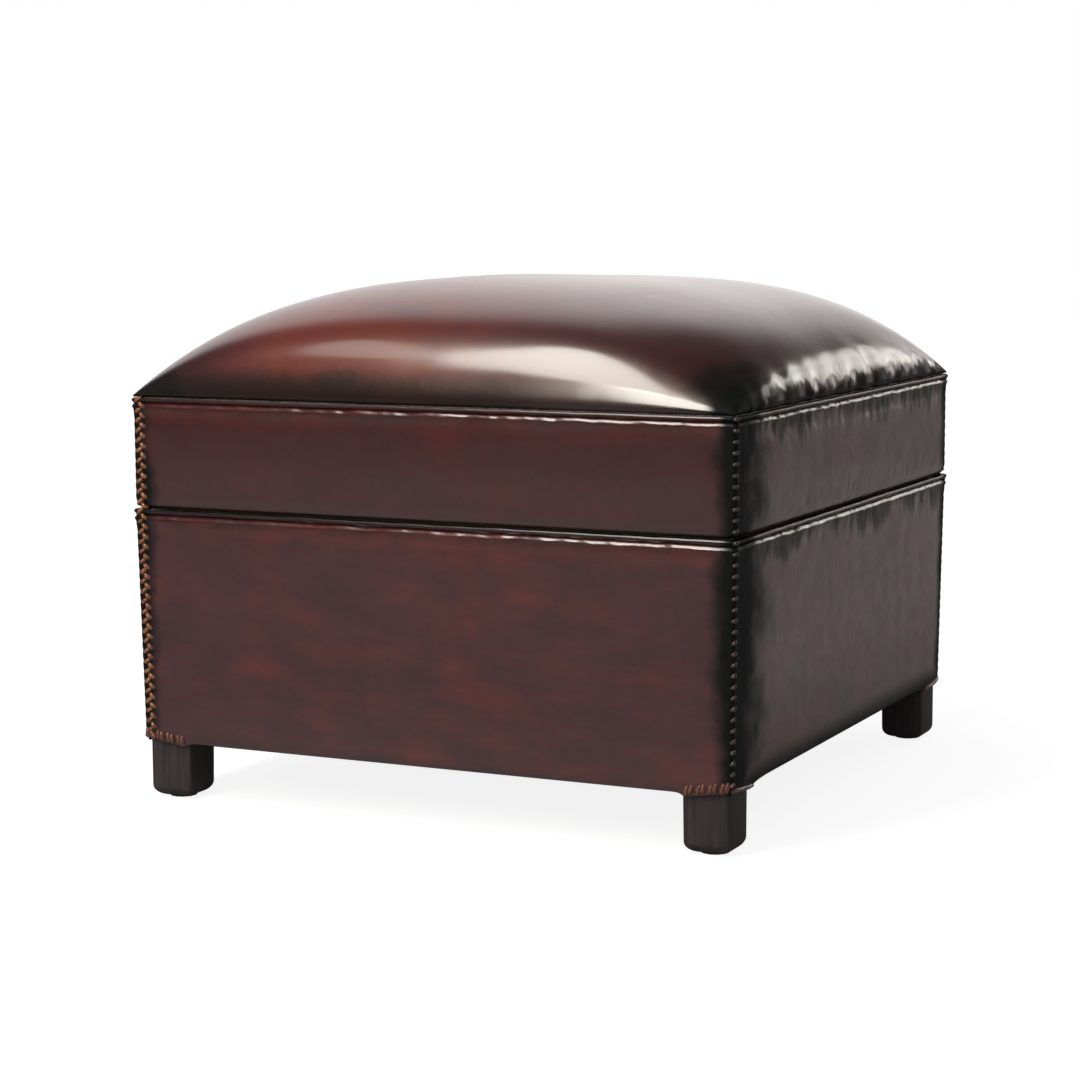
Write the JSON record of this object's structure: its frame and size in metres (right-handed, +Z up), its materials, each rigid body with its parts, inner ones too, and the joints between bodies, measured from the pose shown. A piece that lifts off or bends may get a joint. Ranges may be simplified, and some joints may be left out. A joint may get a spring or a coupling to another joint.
{
  "type": "upholstered footstool",
  "caption": "Square upholstered footstool with a domed, sprung leather seat, a piped band, whip-stitched leather sides and short square wooden legs.",
  "frame": {"origin": "on the floor, under the middle of the stool", "axes": "+Z up, -Y towards the front, +X to the right; the plan is square, so all four sides are alike"},
  "size_m": [0.5634, 0.5634, 0.4483],
  "materials": {
    "seat_leather": "glossy waxed aniline leather, burnished nearly black at the seams",
    "wall_leather": "glossy waxed aniline leather, a deeper burgundy than the seat",
    "piping_leather": "glossy waxed leather over cord",
    "waxed_thread": "thick waxed linen thread, orange brown",
    "leg_wood": "dark stained hardwood, satin lacquer",
    "glide_nylon": "matt nylon",
    "frame_wood": "planed beech, unfinished",
    "board": "plywood, unfinished",
    "webbing_jute": "woven jute",
    "spring_steel": "bare spring wire",
    "twine": "laid jute twine",
    "hessian": "coarse plain weave",
    "stuffing_hair": "curled hair pad",
    "cotton_wadding": "soft cotton felt",
    "dust_cloth": "thin woven black cloth"
  },
  "bodies": {
    "root": {"top_cover": "seat_leather", "band_front": "wall_leather", "band_right": "wall_leather", "band_back": "wall_leather", "band_left": "wall_leather", "side_wall_front": "wall_leather", "side_wall_right": "wall_leather", "side_wall_back": "wall_leather", "side_wall_left": "wall_leather", "top_piping": "piping_leather", "middle_piping": "piping_leather", "corner_thread_front_right": "waxed_thread", "corner_thread_back_right": "waxed_thread", "corner_thread_back_left": "waxed_thread", "corner_thread_front_left": "waxed_thread", "foot_thread_front_right": "waxed_thread", "foot_thread_back_right": "waxed_thread", "foot_thread_back_left": "waxed_thread", "foot_thread_front_left": "waxed_thread", "leg_front_right": "leg_wood", "leg_back_right": "leg_wood", "leg_back_left": "leg_wood", "leg_front_left": "leg_wood", "glide_front_right": "glide_nylon", "glide_back_right": "glide_nylon", "glide_back_left": "glide_nylon", "glide_front_left": "glide_nylon", "base_rail_front": "frame_wood", "base_rail_right": "frame_wood", "base_rail_back": "frame_wood", "base_rail_left": "frame_wood", "seat_rail_front": "frame_wood", "seat_rail_right": "frame_wood", "seat_rail_back": "frame_wood", "seat_rail_left": "frame_wood", "corner_block_front_right": "frame_wood", "corner_block_back_right": "frame_wood", "corner_block_back_left": "frame_wood", "corner_block_front_left": "frame_wood", "side_board_front": "board", "side_board_right": "board", "side_board_back": "board", "side_board_left": "board", "webbing": "webbing_jute", "seat_spring_1": "spring_steel", "seat_spring_2": "spring_steel", "seat_spring_3": "spring_steel", "seat_spring_4": "spring_steel", "seat_spring_5": "spring_steel", "seat_spring_6": "spring_steel", "seat_spring_7": "spring_steel", "seat_spring_8": "spring_steel", "seat_spring_9": "spring_steel", "spring_twine": "twine", "hessian": "hessian", "stuffing": "stuffing_hair", "wadding": "cotton_wadding", "dust_cover": "dust_cloth"}
  },
  "joints": []
}
